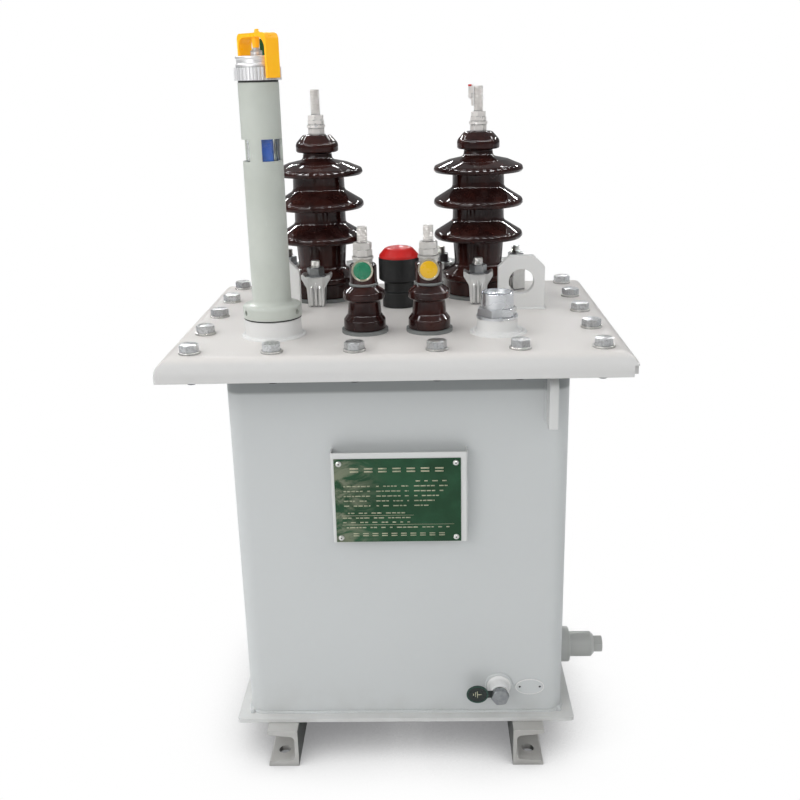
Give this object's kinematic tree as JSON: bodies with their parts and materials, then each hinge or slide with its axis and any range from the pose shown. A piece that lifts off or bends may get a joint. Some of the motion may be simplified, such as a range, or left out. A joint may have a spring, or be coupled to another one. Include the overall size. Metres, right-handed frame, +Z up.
{
  "type": "distribution transformer",
  "caption": "Small oil-filled distribution transformer: sheet steel tank on channel feet, bolted cover with porcelain bushings, oil gauge, tap changer, filler and lifting plates.",
  "frame": {"origin": "floor level, under the middle of the tank and cover", "axes": "+X to the right as seen from the rating plate side, +Y to the back, +Z up"},
  "size_m": [0.511, 0.408, 0.857],
  "materials": {
    "tank_paint": "semi-gloss pale grey paint",
    "seal_rubber": "dark rubber",
    "plate_green": "green enamel on thin sheet",
    "tag_black": "black enamel",
    "zinc_steel": "dull zinc plate",
    "bright_zinc": "bright plate",
    "gauge_plastic": "grey-green moulded plastic",
    "clear_glass": "clear tube",
    "float_blue": "blue plastic",
    "bare_aluminium": "bare cast and turned aluminium",
    "guard_yellow": "yellow plastic",
    "flag_green": "dark green plastic",
    "brown_glaze": "dark brown glaze",
    "bushing_seal": "grey rubber",
    "tag_green": "green enamel with a bare rim",
    "tag_yellow": "yellow enamel with a bare rim",
    "black_plastic": "black moulded plastic",
    "cap_red": "red plastic"
  },
  "bodies": {
    "root": {"foot_left": "tank_paint", "foot_right": "tank_paint", "base_plate": "tank_paint", "tank_shell": "tank_paint", "tank_flange": "tank_paint", "cover_seal": "seal_rubber", "cover": "tank_paint", "lifting_lugs": "tank_paint", "rope_hooks": "tank_paint", "plate_bracket": "tank_paint", "rating_plate": "plate_green", "earth_boss": "tank_paint", "earth_tag": "tag_black", "earth_bolt": "zinc_steel", "oval_plate": "tank_paint", "drain_valve": "tank_paint", "drain_plug": "tank_paint", "filler_boss": "tank_paint", "filler_cap": "bright_zinc", "gauge_boss": "tank_paint", "gauge_seal": "seal_rubber", "gauge_tube": "gauge_plastic", "gauge_glass": "clear_glass", "gauge_float": "float_blue", "gauge_ring": "seal_rubber", "gauge_collar": "bare_aluminium", "gauge_head": "bare_aluminium", "gauge_guard": "guard_yellow", "valve_flag": "flag_green", "hv_bushings": "brown_glaze", "hv_seals": "bushing_seal", "hv_studs": "zinc_steel", "hv_nuts": "zinc_steel", "hv_claws": "bare_aluminium", "hv_claw_nuts": "zinc_steel", "lv_bushings": "brown_glaze", "lv_seals": "bushing_seal", "lv_rings": "bushing_seal", "lv_uppers": "brown_glaze", "lv_studs": "zinc_steel", "lv_nuts": "zinc_steel", "lv_tag_left": "tag_green", "lv_tag_right": "tag_yellow", "tap_body": "black_plastic", "tap_cap": "cap_red"}
  },
  "joints": []
}
